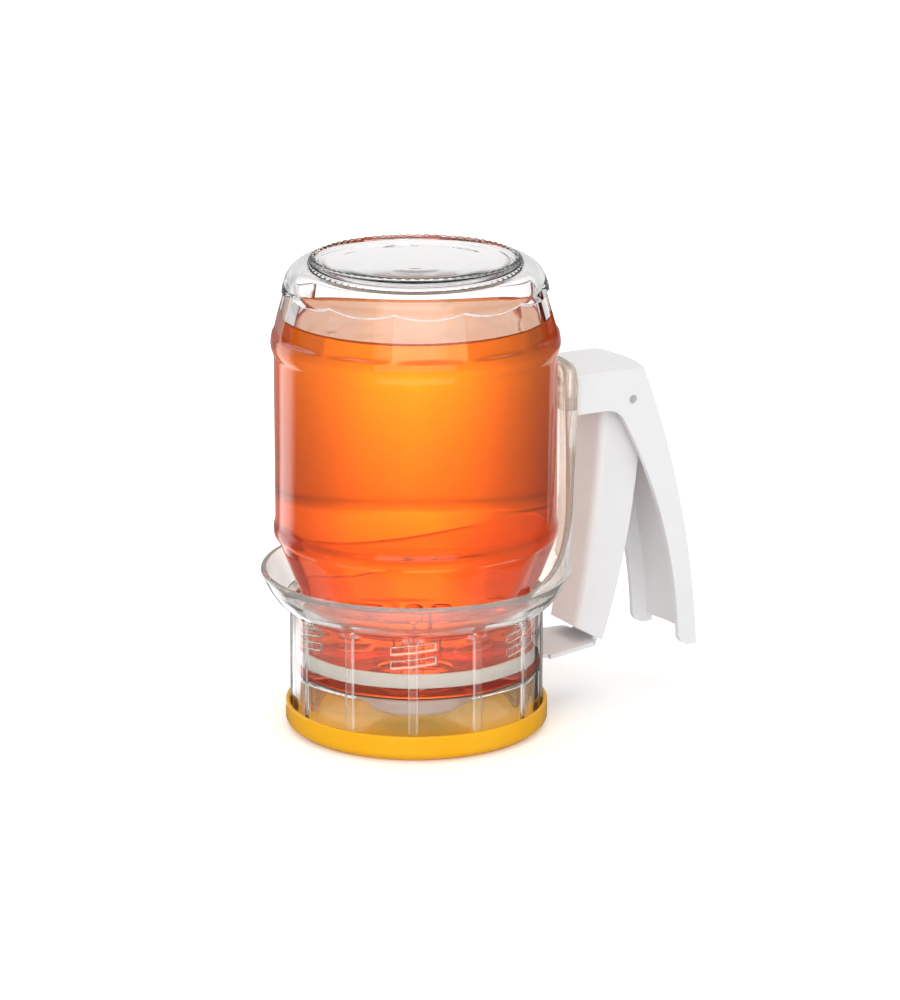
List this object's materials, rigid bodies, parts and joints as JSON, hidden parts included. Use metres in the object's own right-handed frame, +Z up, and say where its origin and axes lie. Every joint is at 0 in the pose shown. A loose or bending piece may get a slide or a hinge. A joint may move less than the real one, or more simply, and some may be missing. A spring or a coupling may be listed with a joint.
{
  "type": "honey dispenser",
  "caption": "Honey dispenser: a jar stands neck down in a clear cup, and squeezing a lever in its handle slides a gate open under the outlet.",
  "frame": {"origin": "centre of the stand's underside, on the jar's axis", "axes": "+Z up along the jar's axis, +X towards the handle; the object mirrors in the XZ plane apart from the jar's thread and the spring"},
  "size_m": [0.1534, 0.1026, 0.1585],
  "materials": {
    "stand": "glossy moulded yellow",
    "clear_plastic": "clear moulded, faintly warm",
    "silicone": "translucent white silicone",
    "white_plastic": "satin moulded white",
    "steel": "bright stainless",
    "glass": "clear pressed glass",
    "honey": "clear liquid, amber to orange"
  },
  "bodies": {
    "stand": {"drip_stand": "stand"},
    "dispenser": {"clear_body": "clear_plastic", "mouth_gasket": "silicone", "outlet_seal": "silicone", "outlet_nozzle": "white_plastic", "nozzle_screws": "steel", "outer_handle": "white_plastic", "handle_screws": "steel", "hinge_pin": "steel", "return_spring": "steel"},
    "lever": {"trigger_lever": "white_plastic"},
    "gate": {"slide_gate": "white_plastic"},
    "jar": {"glass_jar": "glass", "honey": "honey"}
  },
  "joints": [
    {"name": "dispenser_lift", "type": "slide", "parent": "stand", "child": "dispenser", "axis": [0, 0, 1], "range_m": [0, 0.06]},
    {"name": "lever_hinge", "type": "hinge", "parent": "dispenser", "child": "lever", "pos_m": [0.0736, 0, 0.105], "axis": [0, -1, 0], "range_deg": [0, 16], "stiffness_Nm_per_rad": 0.3, "springref_deg": -20.05, "deforming": ["return_spring"]},
    {"name": "gate_slide", "type": "slide", "parent": "dispenser", "child": "gate", "axis": [1, 0, 0], "range_m": [0, 0.0225]},
    {"name": "jar_lift", "type": "slide", "parent": "dispenser", "child": "jar", "axis": [0, 0, 1], "range_m": [0, 0.06]}
  ],
  "couplings": [
    {"joint": "gate_slide", "follows": "lever_hinge", "m_per_rad": 0.0802}
  ]
}
